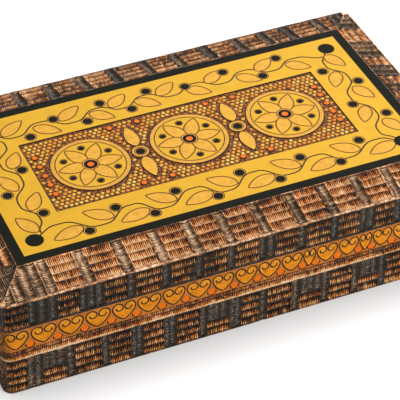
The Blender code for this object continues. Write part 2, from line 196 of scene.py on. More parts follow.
def press(u, v, marks, stripes):
    """Depth, how burnt each spot looks with its painted highlights, ribs, uprightness and scorch of the
    marks over the columns u and the rows v.
    """
    depth = np.zeros((len(u), len(v)))
    burn_and_painted_light = np.zeros(depth.shape)
    by_column = np.where(np.arange(len(u)) % 2, 1.0, -1.0)[:, None]
    by_row = np.where(np.arange(len(v)) % 2, 1.0, -1.0)[None, :]
    rib = np.zeros(depth.shape) + by_column * np.reshape(stripes, (1, -1))
    tone = np.zeros(depth.shape)
    scorch = np.zeros(depth.shape)
    for mark in marks:
        wide = math.sqrt(mark.rod**2 - (mark.rod - mark.push) ** 2)
        reach = (wide, mark.half) if mark.upright else (mark.half, wide)
        j = slice(*np.searchsorted(u, (mark.u - reach[0] - 1, mark.u + reach[0] + 1)))
        k = slice(*np.searchsorted(v, (mark.v - reach[1] - 1, mark.v + reach[1] + 1)))
        du = u[j, None] - mark.u
        dv = v[None, k] - mark.v
        along, across = (dv, du) if mark.upright else (du, dv)
        across = across + mark.lean * along
        end = np.clip((np.abs(along) - mark.half + ROD_END) / ROD_END, 0, 1)
        push = mark.push * np.sqrt(1 - end**2)
        bowl = np.sqrt(np.clip(mark.rod**2 - across**2, 0, None)) - (mark.rod - push)
        bowl = np.where(end < 1, bowl, 0)
        deeper = bowl > depth[j, k]
        halo = np.clip((wide + HALO - np.abs(across)) / HALO, 0, 1)
        halo = halo * np.clip((mark.half + HALO - np.abs(along)) / HALO, 0, 1)
        nearer = deeper | ((halo > burn_and_painted_light[j, k]) & (depth[j, k] <= 0))
        # Lighter where the painted highlight lies, less so for uprights on scorched bands.
        clear = painted_highlight(across / wide, mark.upright)
        mark_burn_and_light = 1 - clear * (1 - SCORCHED_POST * max(mark.scorch, 0) * mark.upright)
        ribs = by_row[:, k] if mark.upright else by_column[j]
        mark_burn_and_light = mark_burn_and_light + rng.normal(0, RIB_UNEVEN, ribs.shape)
        ribs = ribs * rng.uniform(*RIB_STRENGTH, ribs.shape) * np.clip(bowl / RIB_FULL_DEPTH, 0, 1)
        depth[j, k] = np.where(deeper, bowl, depth[j, k])
        rib[j, k] = np.where(deeper, ribs, rib[j, k])
        tone[j, k] = np.where(nearer, 1.0 if mark.upright else 0.0, tone[j, k])
        scorch[j, k] = np.where(nearer, mark.scorch, scorch[j, k])
        burn_and_painted_light[j, k] = np.where(deeper, mark_burn_and_light, np.where(nearer, halo, burn_and_painted_light[j, k]))
    return depth, burn_and_painted_light, rib, tone, scorch


def mark(u, v, half, upright, scorch):
    spot = u + rng.normal(0, SLIP_U), v + rng.normal(0, SLIP_V)
    push = ROD_PUSH * rng.uniform(*PUSH_SPREAD)
    return Mark(*spot, half, upright, ROD_RADIUS, push, rng.normal(0, LEAN), rng.uniform(*scorch))


# How the marks are laid out in a band.
WALL_CLEARANCE = 2.0
SLOPE_CLEARANCE = 2.6
END_ROOM = 2.0
NARROWEST_GAP = 8.5
BLOCK_EDGE = 1.9
BLOCK_POSTS = 3
BLOCK_OVERLAP = 1.2
FIRST_POST = (10, 14)
LAST_ROOM = 8
PAIR_SHARE = 0.35
PAIR_GAP = (3.9, 4.6)
POST_GAP = (15.5, 18)


def bars(posts, rows, end, scorch, clearance):
    """Level marks in each gap between upright ones that is wide enough."""
    stops = [-end - END_ROOM] + sorted(posts) + [end + END_ROOM]
    for a, b in zip(stops, stops[1:]):
        if b - a > NARROWEST_GAP:
            for v in rows:
                yield mark((a + b) / 2, v, (b - a) / 2 - clearance, False, scorch)


def pattern(posts, rows, top, foot, end, scorch, blocks=(), clearance=WALL_CLEARANCE):
    """Uprights from top to foot, level marks between; a block has short uprights over two level marks."""
    marks = list(bars(posts, rows, end, scorch, clearance))
    for a, b in blocks:
        marks = [m for m in marks if not (a < m.u < b and m.v < rows[2] - 1)]
        middle = (top + rows[1]) / 2 + BLOCK_OVERLAP
        half = (rows[1] - top) / 2 + BLOCK_OVERLAP
        marks += [
            mark(u, middle, half, True, scorch)
            for u in np.linspace(a + BLOCK_EDGE, b - BLOCK_EDGE, BLOCK_POSTS)
        ]
    marks += [mark(u, (top + foot) / 2, (foot - top) / 2, True, scorch) for u in posts]
    return marks


def spread(end):
    """Places of upright marks on a side that the photo doesn't show."""
    found = []
    at = -end + rng.uniform(*FIRST_POST)
    while at < end - LAST_ROOM:
        found.append(at)
        if rng.random() < PAIR_SHARE:
            at += rng.uniform(*PAIR_GAP)
            found.append(at)
        at += rng.uniform(*POST_GAP)
    return found


# Places of the uprights along each side, and the level rows measured down from the top.
SLOPE_POSTS = {
    "front": (-119, -114, -109, -104.2, -98.6, -80.7, -61.7, -44, -27, -10.2, 7.7, 25.9, 43.4, 60.5, 77.1,
              94.6, 99.6, 104.8, 109.6, 114.4, 119),
    "right": (-70, -65, -60, -43, -27, -13, 1.4, 14.6, 19, 32.6, 37.2, 41.8, 60, 65, 70),
    "back": (-119, -114.5, -104, -86.3, -72.5, -56.9, -39.6, -21.9, -4.7, 13.5, 30.6, 48.1, 65.5, 82, 98.6,
             104, 109, 114.5, 119),
    "left": (-70, -65, -60, -44, -27.5, -11, 5.6, 22.4, 39, 55.6, 60.4, 65, 70),
}
FRONT_UPPER_POSTS = (-109.5, -104.6, -99.4, -84.5, -80.3, -76.5, -61.1, -44, -27, -10.5, 5, 9.8, 26, 42.8,
                     58.3, 62.5, 76.9, 93.5, 97.9, 112)
FRONT_LOWER_POSTS = (-111.7, -108, -92, -74.9, -59.9, -57.6, -43.2, -40.5, -24.9, -9.2, -7, 6.5, 23.7, 39.7,
                     56, 71, 86.5, 102.4, 106.2)
FRONT_LOWER_BLOCKS = ((-106, -95), (-22.4, -12.4), (26.9, 37.5), (58.7, 68))
# How far each band is scorched, from the least to the most. The slopes' sides also differ by painted light:
# the front is painted palest and the back darkest.
SLOPE_SCORCH_AND_SHADE = {"front": (-0.4, 0.15), "right": (0.05, 0.55), "back": (0.4, 0.9), "left": (0.0, 0.4)}
UPPER_SCORCH = (0.8, 1.1)
LOWER_SCORCH = (0.66, 1.0)
SLOPE_ROWS = (2.7, 7.3, 11.9, 16.5)
END_SLOPE_ROWS = (2.8, 7.7, 12.6)
SLOPE_HEAD = 0.5
SLOPE_TAIL = 0.4
UPPER_ROWS = (7.75, 12.5, 17.3)
UPPER_REACH = (5.5, 19.8)
LOWER_ROWS = (41.9, 46.9, 51.7, 56.4)
LOWER_REACH = (39.1, 58.9)


def upper_marks(side):
    end = run_end(side)
    posts = FRONT_UPPER_POSTS if side is FRONT else spread(end)
    return pattern(posts, UPPER_ROWS, *UPPER_REACH, end, UPPER_SCORCH)


def lower_marks(side):
    end = run_end(side)
    posts, blocks = (FRONT_LOWER_POSTS, FRONT_LOWER_BLOCKS) if side is FRONT else (spread(end), ())
    return pattern(posts, LOWER_ROWS, *LOWER_REACH, end, LOWER_SCORCH, blocks)


def slope_marks(side, length):
    end = run_end(side)
    rows = SLOPE_ROWS if side.half_run == HALF_LENGTH else END_SLOPE_ROWS
    reach = (SLOPE_HEAD, length - SLOPE_TAIL)
    scorch = SLOPE_SCORCH_AND_SHADE[side.name]
    return pattern(SLOPE_POSTS[side.name], rows, *reach, end, scorch, clearance=SLOPE_CLEARANCE)


def relief(u, v, marks, stripes=0.0):
    """How far the skin lies inwards over the grid, and the four values that its material reads."""
    depth, burn_and_painted_light, rib, tone, scorch = press(u, v, marks, stripes)
    fade = np.clip((u[-1] - np.abs(u)) / MITRE_FADE, 0, 1)[:, None]
    depth = depth * fade
    rib = rib * fade
    inset = depth - rib * RIB_HEIGHT * np.clip(depth / RIB_START_DEPTH + np.abs(stripes), 0, 1)
    data = together(burn_and_painted_light, rib / 2 + 0.5, tone, scorch)
    return inset, data


# Making meshes out of patches. The gaps keep the parts of a chart apart.
CHART_GAP = 2
CHART_MARGIN = 0.001


def placed(name, data):
    """A new object in the scene."""
    made = bpy.data.objects.new(name, data)
    bpy.context.scene.collection.objects.link(made)
    return made


def weld(name, patches, materials):
    points = np.concatenate([p.points for p in patches])
    starts = np.cumsum([0] + [len(p.points) for p in patches])
    faces = [[i + start for i in face] for p, start in zip(patches, starts) for face in p.faces]
    spots = np.concatenate([p.spots for p in patches])
    looks = [look for p in patches for look in p.looks]
    data = np.concatenate([p.data for p in patches])
    mesh = bpy.data.meshes.new(name)
    mesh.from_pydata((points * MM).tolist(), [], faces)
    names = sorted(set(looks))
    for look in names:
        mesh.materials.append(materials[look])
    mesh.polygons.foreach_set("material_index", [names.index(look) for look in looks])
    mesh.polygons.foreach_set("use_smooth", [look == ROUNDED for look in looks])
    layer = mesh.uv_layers.new(name=UV_NAME)
    corners = np.zeros(len(mesh.loops), dtype=int)
    mesh.loops.foreach_get("vertex_index", corners)
    layer.data.foreach_set("uv", spots[corners].ravel())
    colour = mesh.attributes.new(PRESS_NAME, "FLOAT_COLOR", "POINT")
    colour.data.foreach_set("color", data.ravel())
    work = bmesh.new()
    work.from_mesh(mesh)
    bmesh.ops.remove_doubles(work, verts=work.verts, dist=WELD)
    close(work, names.index("plain"))
    bmesh.ops.recalc_face_normals(work, faces=work.faces)
    work.to_mesh(mesh)
    work.free()
    return placed(name, mesh)


def close(work, look):
    """Caps the open loops, each cap with its own place beside the chart."""
    layer = work.loops.layers.uv[UV_NAME]
    edge = max(loop[layer].uv.y for face in work.faces for loop in face.loops)
    rim = [e for e in work.edges if e.is_boundary]
    caps = bmesh.ops.edgeloop_fill(work, edges=rim)["faces"]
    for face in caps:
        face.material_index = look
        face.normal_update()
        flat = max(range(3), key=lambda i: abs(face.normal[i]))
        axes = [i for i in (0, 1, 2) if i != flat]
        low = [min(loop.vert.co[i] for loop in face.loops) for i in axes]
        span = max(loop.vert.co[axes[1]] for loop in face.loops) - low[1]
        for loop in face.loops:
            x = (loop.vert.co[axes[0]] - low[0]) / MM
            y = (loop.vert.co[axes[1]] - low[1]) / MM
            loop[layer].uv = (x - HALF_DEPTH, edge + CHART_GAP + y)
        edge += CHART_GAP + span / MM


def chart(piece):
    """Fits the piece's own UV chart, laid out in millimetres, to the unit square."""
    layer = piece.data.uv_layers[UV_NAME]
    spots = np.zeros(len(layer.data) * 2)
    layer.data.foreach_get("uv", spots)
    spots = spots.reshape(-1, 2)
    low, high = spots.min(axis=0), spots.max(axis=0)
    fitted = CHART_MARGIN + (1 - 2 * CHART_MARGIN) * (spots - low) / (high - low)
    layer.data.foreach_set("uv", fitted.ravel())


# Flat artwork cut into one face.
LINE_SINK = 0.12
RING_SINK = 0.1
DOME_SHOULDER = 0.6
DOME_SHOULDER_HEIGHT = 0.75
CUT_STEP = 0.0001
ROUNDED = "pip"


class Inlay:
    """Closed shapes and lines in one plane; a later one lies over the earlier ones."""

    def __init__(self):
        self.points = []
        self.edges = []
        self.faces = []
        self.looks = []
        self.lifts = []
        self.owners = []

    def _add(self, path, lift, owner):
        first = len(self.points)
        self.points.extend((float(x), float(y)) for x, y in path)
        self.lifts.extend([lift] * len(path))
        self.owners.extend([owner] * len(path))
        return first

    def shape(self, outline, look, lift=0.0):
        """A filled outline, turned anticlockwise where it isn't."""
        if signed_area(outline) < 0:
            outline = outline[::-1]
        owner = len(self.looks)
        first = self._add(outline, lift, owner)
        self.faces.append(list(range(first, first + len(outline))))
        self.looks.append(look)

    def crease(self, path, lift, closed=False):
        """A path at another height inside the last shape."""
        first = self._add(path, lift, len(self.looks) - 1)
        last = first + len(path) - 1
        self.edges.extend((i, i + 1) for i in range(first, last))
        if closed:
            self.edges.append((last, first))

    def line(self, path, width, look, bead=0.0):
        path = np.asarray(path)
        wide = beaded(path, width, bead)
        wide[0] = wide[-1] = width / 3
        off = normals(path, False) * wide
        self.shape(np.concatenate((path + off, (path - off)[::-1])), look)
        self.crease(path[1:-1], -LINE_SINK)

    def ring(self, path, width, look, sink=RING_SINK, bead=0.0):
        """A closed line. Returns its inner edge, in which the next shape lies."""
        off = outward(path) * beaded(path, width, bead)
        self.shape(path + off, look)
        self.crease(path, -sink, closed=True)
        return path - off

    def dome(self, centre, radius, height, look, lift):
        self.shape(circle(centre, radius, 9), look, lift)
        shoulder = circle(centre, radius * DOME_SHOULDER, 6)
        self.crease(shoulder, lift + height * DOME_SHOULDER_HEIGHT, closed=True)
        self._add([centre], lift + height, len(self.looks) - 1)

    def cut(self, place, spot):
        """The faces that show, each with the look of its topmost shape."""
        points = [Vector(p) for p in self.points]
        found = delaunay_2d_cdt(points, self.edges, self.faces, 1, CUT_STEP, True)
        verts, faces, sources, regions = found[0], found[2], found[3], found[5]
        owner = [max(r) if r else -1 for r in regions]
        around = [set() for _ in verts]
        for face, top in zip(faces, owner):
            for i in face:
                around[i].add(top)
        lift = np.zeros(len(verts))
        for i, source in enumerate(sources):
            shown = [s for s in source if self.owners[s] in around[i]]
            if shown:
                lift[i] = self.lifts[max(shown)]
            elif around[i]:
                lift[i] = self.lifts[self.faces[max(around[i])][0]]
        kept = [n for n, top in enumerate(owner) if top >= 0]
        looks = [self.looks[owner[n]] for n in kept]
        x, y = np.array([(v.x, v.y) for v in verts]).T
        cells = [list(faces[n]) for n in kept]
        return Patch(place(x, y, lift), cells, spot(x, y), looks, np.zeros((len(verts), 4)))


def beaded(path, width, bead):
    """Half the width at each point, a little more at every other one."""
    wide = np.full((len(path), 1), width / 2)
    wide[::2] += bead
    return wide


def outward(path):
    side = normals(path, True)
    return side if signed_area(path) > 0 else -side


def normals(path, closed):
    if closed:
        run = np.roll(path, -1, axis=0) - np.roll(path, 1, axis=0)
    else:
        run = np.gradient(path, axis=0)
    run = run / np.maximum(np.linalg.norm(run, axis=1), 1e-9)[:, None]
    return together(run[:, 1], -run[:, 0])


def signed_area(path):
    x, y = np.asarray(path, dtype=float).T
    return np.sum(x * np.roll(y, -1) - y * np.roll(x, -1)) / 2


def circle(centre, radius, count=28):
    angle = np.arange(count) * math.tau / count
    return together(centre[0] + radius * np.cos(angle), centre[1] + radius * np.sin(angle))


def smooth(knots, step, closed=False):
    """A curve through the knots in even steps."""
    knots = np.asarray(knots, dtype=float)
    if closed:
        full = np.concatenate((knots[-1:], knots, knots[:2]))
    else:
        full = np.concatenate((2 * knots[:1] - knots[1:2], knots, 2 * knots[-1:] - knots[-2:-1]))
    t = np.linspace(0, 1, 16, endpoint=False)[:, None]
    runs = []
    for a, b, c, d in zip(full, full[1:], full[2:], full[3:]):
        bend = (2 * a - 5 * b + 4 * c - d) * t**2
        runs.append(0.5 * (2 * b + (c - a) * t + bend + (3 * b - a - 3 * c + d) * t**3))
    path = np.concatenate(runs + ([knots[:1]] if closed else [knots[-1:]]))
    length = np.concatenate(([0], np.cumsum(np.linalg.norm(np.diff(path, axis=0), axis=1))))
    count = max(4, round(length[-1] / step))
    at = np.linspace(0, length[-1], count + 1)
    even = together(np.interp(at, length, path[:, 0]), np.interp(at, length, path[:, 1]))
    return even[:-1] if closed else even


def wave(turns):
    """A full, round wave through its turning points."""
    path = []
    for (a, p), (b, q) in zip(turns, turns[1:]):
        phase = np.linspace(0, math.pi, 24, endpoint=False)
        swing = (1 + VINE_FULLNESS) * np.cos(phase) - VINE_FULLNESS * np.cos(3 * phase)
        path.append(together(a + (b - a) * phase / math.pi, (p + q) / 2 + (p - q) / 2 * swing))
    return smooth(np.concatenate(path + [np.array(turns[-1:])]), VINE_STEP)


def leaf(centre, length, width, angle):
    """A leaf with a round base and a pointed tip, which the angle turns."""
    t = np.linspace(0, 1, 22)
    half = width / 2 * np.sin(math.pi * t**0.8) ** 0.75
    x = (t - 0.5) * length
    outline = np.concatenate((together(x, half), together(x, -half)[-2:0:-1]))
    turn = math.radians(angle)
    spin = np.array(((math.cos(turn), math.sin(turn)), (-math.sin(turn), math.cos(turn))))
    return outline @ spin + centre


# The frieze of hearts.
HEART = ((0, 0), (-2.5, 1.6), (-4.8, 4.2), (-6.0, 7.2), (-5.3, 9.3), (-3.6, 10.25), (-1.7, 9.8), (-0.5, 8.3),
         (-0.8, 6.8), (-2.0, 5.9), (-3.3, 6.1), (-4.1, 7.0), (-3.8, 7.8))
HEART_WIDTH = 12.5
HEART_FOOT = 26.95
HEART_NOTCH = 5.6
HEART_LINE = 0.72
HEART_BODY_SHARE = 0.66
HEART_ROOM_SHARE = 0.95
FRONT_DOTS = (-124.9, -111.5, -98, -84.75, -71.5, -58.9, -46.1, -34, -20.75, -9, 3.1, 15.25, 26.9, 33.75,
              45.6, 57, 64, 75, 87.2, 99.4, 111.8, 124.6)
DOT_PITCH = 12.6
DOT_HEIGHT = 28.25
DOT_RADIUS = 1.75
DOT_END_ROOM = 3
DROP = ((0.5, 1.5), (0, 2.5), (-0.5, 1.5))
CUP_WIDTH = 2.2
CUP_DEPTH = 1.85
CUP_TURN = (-3.5, 0.36)
CUP_LINE = 0.6


def frieze_dots(side):
    end = run_end(side)
    return FRONT_DOTS if side is FRONT else np.linspace(-end, end, round(2 * end / DOT_PITCH) + 1)


def mirrored(path, centre):
    return path * (-1, 1) + (2 * centre, 0)


def heart(art, centre, width):
    scale = width / HEART_WIDTH
    left = smooth([(centre + x * scale, HEART_FOOT + y) for x, y in HEART], 0.5)
    right = mirrored(left, centre)
    top = int(len(left) * HEART_BODY_SHARE)
    body = np.concatenate((left[:top], [(centre, HEART_FOOT + HEART_NOTCH)], right[:top][::-1][:-1]))
    art.shape(body, "heart")
    curl = smooth([(centre + x * scale, HEART_FOOT + y) for x, y in HEART[4:12]], 0.6)
    for path in (curl, mirrored(curl, centre)):
        art.shape(path, "curl")
    for path in (left, right):
        art.line(path, HEART_LINE, "burnt")


def frieze_dot(art, x):
    turns = np.linspace(*CUP_TURN, 16)
    cup = [(x + CUP_WIDTH * math.cos(t), DOT_HEIGHT + CUP_DEPTH * math.sin(t)) for t in turns]
    art.line(cup, CUP_LINE, "burnt")
    art.shape(circle((x, DOT_HEIGHT), DOT_RADIUS, 20), "orange")
    art.shape([(x + dx, DOT_HEIGHT + dy) for dx, dy in DROP], "orange")


def frieze(side, u):
    end = run_end(side)
    art = Inlay()
    rim = [(x, FRIEZE_FOOT) for x in u] + [(x, WALL_TOP) for x in u[::-1]]
    art.shape(rim, "frieze")
    for x in u[np.abs(u) > straight(side)][1:-1]:
        art.crease(((x, FRIEZE_FOOT), (x, WALL_TOP)), 0.0)
    dots = frieze_dots(side)
    for a, b in zip(dots, dots[1:]):
        heart(art, (a + b) / 2, min(HEART_WIDTH, (b - a) * HEART_ROOM_SHARE))
    for x in dots:
        if abs(x) < end - DOT_END_ROOM:
            frieze_dot(art, x)
    art.points = [(min(max(x, -end), end), y) for x, y in art.points]
    return art.cut(
        lambda x, z, lift: skin(side, x, FRIEZE_INSET - lift, z),
        lambda x, z: together(x, TOP - z),
    )


# The walls: a ribbed strip under the frieze, a pale ledge with a painted highlight along it, a burnt gap and
# the lower band of marks.
STRIP_STEPS = 10
BAND_STEPS = 45
STRIP_GROOVES = (1.2, 3.4)
STRIP_ROD = 1.5
STRIP_PUSH = 0.5
STRIP_GROOVE_SCORCH = 0.3
STRIP_BURN = 0.36
STRIP_SCORCH = 0.2
LEDGE_TOP = STRIP_FOOT + 0.1
LEDGE_FOOT = STRIP_FOOT - 0.7
LEDGE_PAINTED_HIGHLIGHT = -0.25
GAP_TOP = STRIP_FOOT - 0.8
GAP_FOOT = 18.6
GAP_SCORCH = 0.6
RIBBED_FOOT = 19.3
LOOSE_RIBS = 0.6
EASE_RUN = 1.4


def tone_wall(data, z):
    """Sets the tones of the strip, the ledge's painted highlight and the gap between the marks."""
    strip = z > LEDGE_TOP
    ledge = (z > LEDGE_FOOT) & (z < LEDGE_TOP)
    gap = (z < GAP_TOP) & (z > GAP_FOOT)
    data[:, gap, 0] = np.where(data[:, gap, 3] > 0, data[:, gap, 0], 1.0)
    data[:, gap, 3] = np.maximum(data[:, gap, 3], GAP_SCORCH)
    # The ledge is painted paler than bare wood: a painted highlight along its edge.
    data[:, ledge, 0] = LEDGE_PAINTED_HIGHLIGHT
    data[:, strip, 0] = np.maximum(data[:, strip, 0], STRIP_BURN)
    data[:, strip, 3] = np.maximum(data[:, strip, 3], STRIP_SCORCH)


def wall_patches(side):
    u = columns(side)
    z = np.concatenate((
        np.linspace(FRIEZE_FOOT, STRIP_FOOT, STRIP_STEPS + 1),
        np.linspace(STRIP_FOOT, FOOT_EASE, BAND_STEPS + 1)[1:],
    ))
    v = TOP - z
    end = run_end(side)
    marks = [
        Mark(0, TOP - (FRIEZE_FOOT - drop), end, False, STRIP_ROD, STRIP_PUSH, 0, STRIP_GROOVE_SCORCH)
        for drop in STRIP_GROOVES
    ]
    marks += lower_marks(side)
    stripes = np.where((z < LEDGE_TOP) & (z > RIBBED_FOOT), LOOSE_RIBS, 0.0)
    inset, data = relief(u, v, marks, stripes)
    tone_wall(data, z)
    inset[:, 0] = 0
    base = np.where(z > LEDGE_TOP, FRIEZE_INSET, 0.0)
    outside = skin(side, u[:, None], inset + base, z[None, :])
    foot = np.stack((
        outside[:, -1],
        skin(side, u, FOOT_EASE, 0.0),
        inner(side, u, REBATE_INSET, 0.0),
        inner(side, u, REBATE_INSET, REBATE_CEILING),
        inner(side, u, WALL_THICKNESS, REBATE_CEILING),
        inner(side, u, WALL_THICKNESS, WALL_TOP),
        skin(side, u, FRIEZE_INSET, WALL_TOP),
    ), axis=1)
    run = v[-1] + np.cumsum((
        0.0, FOOT_EASE * EASE_RUN, REBATE_INSET - FOOT_EASE, REBATE_CEILING, WALL_THICKNESS - REBATE_INSET,
        WALL_TOP - REBATE_CEILING, WALL_THICKNESS - FRIEZE_INSET))
    return [
        grid_patch(outside, u, v, "carved", data),
        frieze(side, u),
        grid_patch(foot, u, run, "plain"),
    ]


# The lid's rails and board share one band of marks; the lip at its foot is darkened right through as painted
# shade along the seam.
BOARD_STEPS = 12
RAIL_STEPS = 23
LIP_ROWS = 3
LIP_PAINTED_SHADE = 0.4
LIP_INSET = 0.25
RAIL_CAP_RUN = 9.8


def upper_band(side):
    z = np.concatenate((
        np.linspace(BAND_TOP, BOARD_FOOT, BOARD_STEPS + 1),
        np.linspace(BOARD_FOOT, LID_FOOT, RAIL_STEPS + 1)[1:],
    ))
    u = columns(side)
    inset, data = relief(u, TOP - z, upper_marks(side))
    inset[:, 0] = 0
    inset[:, -1] = LIP_INSET
    # The lip's last rows are painted dark: painted shade that widens the seam's shadow.
    data[:, -LIP_ROWS:, 0] = 1.0
    data[:, -LIP_ROWS:, 3] = LIP_PAINTED_SHADE
    return u, z, skin(side, u[:, None], inset, z[None, :]), data


def rail_patches(side, band):
    u, z, points, data = band
    rows = slice(BOARD_STEPS, None)
    outside = points[:, rows]
    v = TOP - z[rows]
    rest = np.stack((
        outside[:, -1],
        inner(side, u, WALL_THICKNESS, LID_FOOT),
        inner(side, u, WALL_THICKNESS, BOARD_FOOT),
        outside[:, 0],
    ), axis=1)
    run = v[-1] + np.cumsum((0.0, RAIL_CAP_RUN, BOARD_FOOT - LID_FOOT, RAIL_CAP_RUN))
    return [grid_patch(outside, u, v, "carved", data[:, rows]), grid_patch(rest, u, run, "plain")]


# The sloping margins. The chart values place each side's part of the piece's chart.
SLOPE_ROW_TILT = 0.22
SEAM_FADE = 1.0
SEAM_BURN_FADE = 0.5
SEAM_BURN_SHARE = 0.4
EDGE_BURN = (-0.2, 0.6)
EDGE_TONE = 0.7
EDGE_RUN = 0.55
SLOPE_CHART_PITCH = 27.5
LIP_CHART = 112
LIP_CHART_PITCH = 1.5


def slope_patches(side, band):
    u, z, points, data = band
    edge = side.half_depth - side.slope_run
    run = side.slope_run - SLOPE_EASE
    fall = TOP - SLOPE_FOOT
    row_count = round(run / RIB_STEP / math.cos(SLOPE_ROW_TILT))
    share = np.linspace(0, 1, row_count + 1)
    short = CORNER_RADIUS * (1 - math.cos(math.pi / 4)) + SLOPE_EASE * math.cos(math.pi / 4)
    column = u[:, None]
    t = np.clip((np.abs(column) - side.core) / (run_end(side) - side.core), 0, 1)
    seam_along = np.where(t > 0, side.core + t * (side.half_run - short - side.core), np.abs(column))
    seam_out = edge + t * (side.half_depth - short - edge)
    seam_z = TOP + t * (SLOPE_FOOT - TOP)
    end_along, end_out = arc(side, column, SLOPE_EASE)
    out = np.minimum(np.maximum(edge + share * run, seam_out), end_out)
    part = (out - seam_out) / np.maximum(end_out - seam_out, 1e-6)
    part = np.where(end_out - seam_out < 1e-4, 1.0, part)
    along = np.sign(column) * (seam_along + part * (end_along - seam_along))
    height = seam_z + part * (SLOPE_FOOT - seam_z)
    length = math.hypot(run, fall)
    v = share * length
    inset, marks = relief(u, v, slope_marks(side, length))
    near = np.minimum(out - seam_out, end_out - out)
    inset = inset * np.clip(near / SEAM_FADE, 0, 1)
    marks[..., 0] *= np.clip(near / SEAM_BURN_FADE, SEAM_BURN_SHARE, 1)
    tilt = math.atan2(fall, run)
    spots = turned(side, along, out - inset * math.sin(tilt), height - inset * math.cos(tilt))
    board = slice(0, BOARD_STEPS + 1)
    whole = np.concatenate((spots, points[:, board]), axis=1)
    facts = np.concatenate((marks, data[:, board]), axis=1)
    rows = slice(row_count - 1, row_count + 3)
    facts[:, rows, 0] = np.maximum(facts[:, rows, 0], rng.uniform(*EDGE_BURN, (len(u), 4)))
    facts[:, rows, 2] = EDGE_TONE
    core = np.abs(u) <= side.core + 1e-6
    rim = spots[core, 0]
    lip = np.stack((rim - (0, 0, PANEL_THICKNESS), rim), axis=1)
    chart_v = np.concatenate((v, v[-1] + EDGE_RUN + BAND_TOP - z[board])) + side.quarter * SLOPE_CHART_PITCH
    lip_v = np.array((0.0, PANEL_THICKNESS)) + LIP_CHART + side.quarter * LIP_CHART_PITCH
    return [grid_patch(whole, u, chart_v, "carved", facts), grid_patch(lip, u[core], lip_v, "plain")]


# The painted panel.
BORDER_WIDTH = 5.1
DISC_SPOTS = ((-96.1, -42.5), (96.1, -42.5), (96.1, 42.5), (-96.1, 42.5))
DISC_RADIUS = 4.4
BERRY_RADIUS = 2.45
BERRY_RIM = 3.0
BERRY_LINE = 0.4
BERRY_SINK = 0.06
FIGURE_RIM = 0.45
FIELD_HALF_LENGTH = 79.65
FIELD_HALF_DEPTH = 27.35
FIELD_LINE = 0.55
FIELD_SINK = 0.4
VINE_WIDTH = 0.75
VINE_BEAD = 0.08
VINE_STEP = 0.6
VINE_FULLNESS = 0.12
LEAF_LINE = 0.6
LEAF_BEAD = 0.1
OUTER_LEAF = (16, 7.6, 194)
INNER_LEAF = (15.4, 7.4, 146)
OTHER_LEAF_WIDTH = 7.2

FRONT_VINE = ((-98, -41), (-82, -36), (-63, -44.4), (-45.3, -36), (-31.4, -44.4), (-13, -36), (0.6, -44.4),
              (18.3, -36), (33.9, -44.4), (51.7, -36), (65, -44), (85, -36.3), (97, -41))
LEFT_VINE = ((-39, -91.5), (-28.9, -88.4), (-15.5, -94.2), (2.2, -86.6), (16, -92.6), (30, -85.3), (41, -93))
BACK_VINE = ((-93, 41.5), (-78.7, 33.9), (-63.7, 40.9), (-48.1, 34.2), (-33.1, 40.6), (-20.9, 35.6),
             (-7.6, 41.6), (6, 35.6), (20, 41.2), (34, 35.4), (48, 41.4), (62, 35.4), (76, 41.2), (93, 36.5))
RIGHT_VINE = ((41, 93.5), (30, 89), (15.6, 95.6), (-0.5, 88.4), (-16, 95), (-31, 88.8), (-41, 94))
OUTER_LEAVES = ((-79.8, -44.1), (-46.4, -44.1), (-13.7, -44.1), (18.7, -44.1), (52, -44), (84.4, -43.6))
INNER_LEAVES = ((-62.3, -36.6), (-30.3, -36.6), (1.3, -36.6), (35, -36.4), (67.4, -36.2))
OTHER_LEAVES = (
    (-78.1, 41.4, 15.5, 33), (-47.6, 42.2, 15, 32), (-21.6, 42.7, 13, 34), (4.6, 42.6, 13.5, 33),
    (31.5, 42.6, 13.5, 33), (59.6, 42.4, 13.5, 32), (-62, 33.9, 14.5, -33), (-32.8, 34.2, 13.5, -36),
    (-7.8, 35.3, 14, -36), (20, 34.6, 13.5, -34), (48, 34.4, 13.5, -34), (76, 34.6, 13.5, -34),
    (-95.7, -31, 14.5, 118), (-86.8, -16, 14, 58), (-93.9, 1.2, 14.5, 112), (-85.4, 16.9, 13, 60),
    (95.6, 31.3, 13.5, -62), (88.7, 16.3, 13.5, -118), (96.8, 1.1, 13.5, -62), (89.1, -15.6, 13.5, -118),
    (98.2, -28.9, 13.5, -62),
)
BERRIES = (
    (-70.1, -46), (-37.2, -46), (-4.8, -46), (27.9, -45.8), (60.7, -45.2), (-53, -35), (-22.2, -34.7),
    (11.7, -33.9), (43.8, -34.4), (76.4, -33.4), (-71.7, 31.4), (-56.5, 40.6), (-41.3, 32.5), (-30.4, 44),
    (-17, 33.5), (-5.1, 44.4), (14.8, 40.5), (37.6, 44.4), (55.4, 33.6), (68, 45), (-84.2, 8.6),
    (-97, -7.1), (-85.6, -25.6), (85.4, 25), (98.7, 10.8), (87.1, -6), (99.4, -18.8),
)


def rectangle(half_x, half_y):
    return np.array(((-half_x, -half_y), (half_x, -half_y), (half_x, half_y), (-half_x, half_y)))


def berry(art, centre, radius=BERRY_RADIUS):
    inside = art.ring(circle(centre, radius * BERRY_RIM / BERRY_RADIUS), BERRY_LINE, "burnt")
    art.shape(inside, "pale")
    art.shape(circle(centre, radius), "black", -BERRY_SINK)


def drawn_leaf(art, x, y, length, width, angle):
    path = smooth(leaf((x, y), length, width, angle), 0.55, closed=True)
    art.shape(art.ring(path, LEAF_LINE, "dotted", bead=LEAF_BEAD), "leaf")


